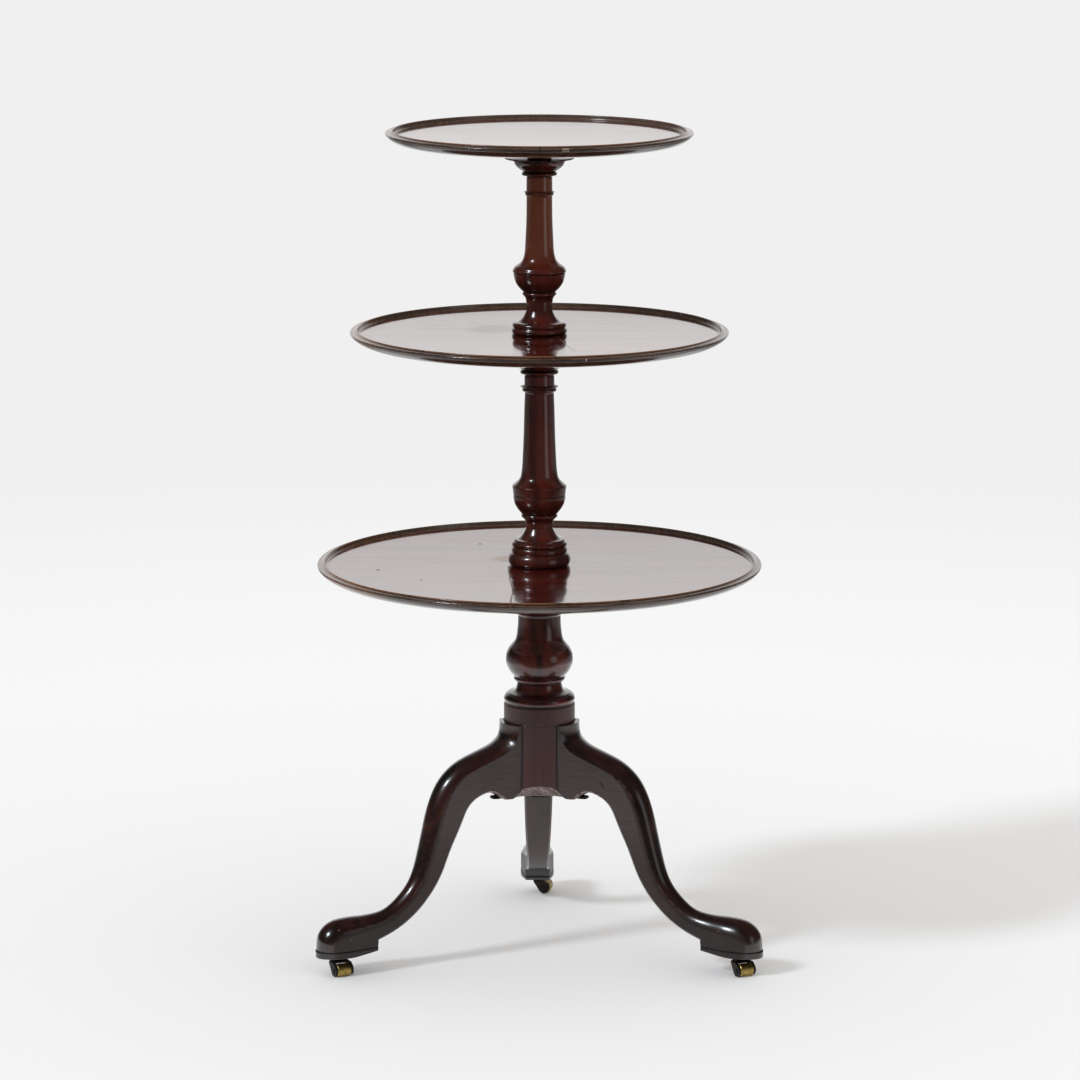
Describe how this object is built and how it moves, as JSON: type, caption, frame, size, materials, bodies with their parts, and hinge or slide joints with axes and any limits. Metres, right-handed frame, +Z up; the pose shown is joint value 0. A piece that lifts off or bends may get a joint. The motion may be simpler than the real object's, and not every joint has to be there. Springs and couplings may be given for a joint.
{
  "type": "dumbwaiter table",
  "caption": "Tall round dumbwaiter table: dished revolving trays of rising size on a turned column, with a cabriole tripod base on swivelling castors.",
  "frame": {"origin": "on the floor, on the column's axis", "axes": "+Z up along the column, -Y towards the front, where two of the legs stand left and right; +X to the right"},
  "size_m": [0.5864, 0.6171, 1.0963],
  "materials": {
    "mahogany": "polished, dark reddish brown",
    "black_iron": "blackened, satin",
    "brass": "worn, dull",
    "steel": "dull"
  },
  "bodies": {
    "base": {"base_column": "mahogany", "middle_stem": "mahogany", "upper_stem": "mahogany", "tripod_brace": "black_iron", "brace_screws": "steel", "leg_left": "mahogany", "foot_sole_left": "mahogany", "castor_plate_left": "black_iron", "castor_screws_left": "steel", "leg_right": "mahogany", "foot_sole_right": "mahogany", "castor_plate_right": "black_iron", "castor_screws_right": "steel", "leg_back": "mahogany", "foot_sole_back": "mahogany", "castor_plate_back": "black_iron", "castor_screws_back": "steel"},
    "top_tray": {"top_tray": "mahogany", "top_tray_block": "mahogany", "top_tray_block_screws": "steel"},
    "middle_tray": {"middle_tray": "mahogany", "middle_tray_block": "mahogany", "middle_tray_block_screws": "steel"},
    "bottom_tray": {"bottom_tray": "mahogany", "bottom_tray_block": "mahogany", "bottom_tray_block_screws": "steel"},
    "castor_left": {"castor_fork_left": "black_iron", "castor_axle_left": "black_iron"},
    "roller_left": {"castor_roller_left": "brass"},
    "castor_right": {"castor_fork_right": "black_iron", "castor_axle_right": "black_iron"},
    "roller_right": {"castor_roller_right": "brass"},
    "castor_back": {"castor_fork_back": "black_iron", "castor_axle_back": "black_iron"},
    "roller_back": {"castor_roller_back": "brass"}
  },
  "joints": [
    {"name": "top_tray_turn", "type": "hinge", "parent": "base", "child": "top_tray", "pos_m": [0, 0, 1.0903], "axis": [0, 0, 1], "continuous": true},
    {"name": "middle_tray_turn", "type": "hinge", "parent": "base", "child": "middle_tray", "pos_m": [0, 0, 0.8301], "axis": [0, 0, 1], "continuous": true},
    {"name": "bottom_tray_turn", "type": "hinge", "parent": "base", "child": "bottom_tray", "pos_m": [0, 0, 0.522], "axis": [0, 0, 1], "continuous": true},
    {"name": "castor_left_swivel", "type": "hinge", "parent": "base", "child": "castor_left", "pos_m": [-0.26335, -0.12844, 0.0213], "axis": [0, 0, 1], "continuous": true},
    {"name": "roller_left_roll", "type": "hinge", "parent": "castor_left", "child": "roller_left", "pos_m": [-0.2579, -0.13914, 0.0085], "axis": [0.891, 0.454, 0], "continuous": true},
    {"name": "castor_right_swivel", "type": "hinge", "parent": "base", "child": "castor_right", "pos_m": [0.26335, -0.12844, 0.0213], "axis": [0, 0, 1], "continuous": true},
    {"name": "roller_right_roll", "type": "hinge", "parent": "castor_right", "child": "roller_right", "pos_m": [0.2688, -0.13914, 0.0085], "axis": [0.891, 0.454, 0], "continuous": true},
    {"name": "castor_back_swivel", "type": "hinge", "parent": "base", "child": "castor_back", "pos_m": [-0.00307, 0.29298, 0.0213], "axis": [0, 0, 1], "continuous": true},
    {"name": "roller_back_roll", "type": "hinge", "parent": "castor_back", "child": "roller_back", "pos_m": [0.00867, 0.29049, 0.0085], "axis": [0.2079, 0.9781, 0], "continuous": true}
  ]
}
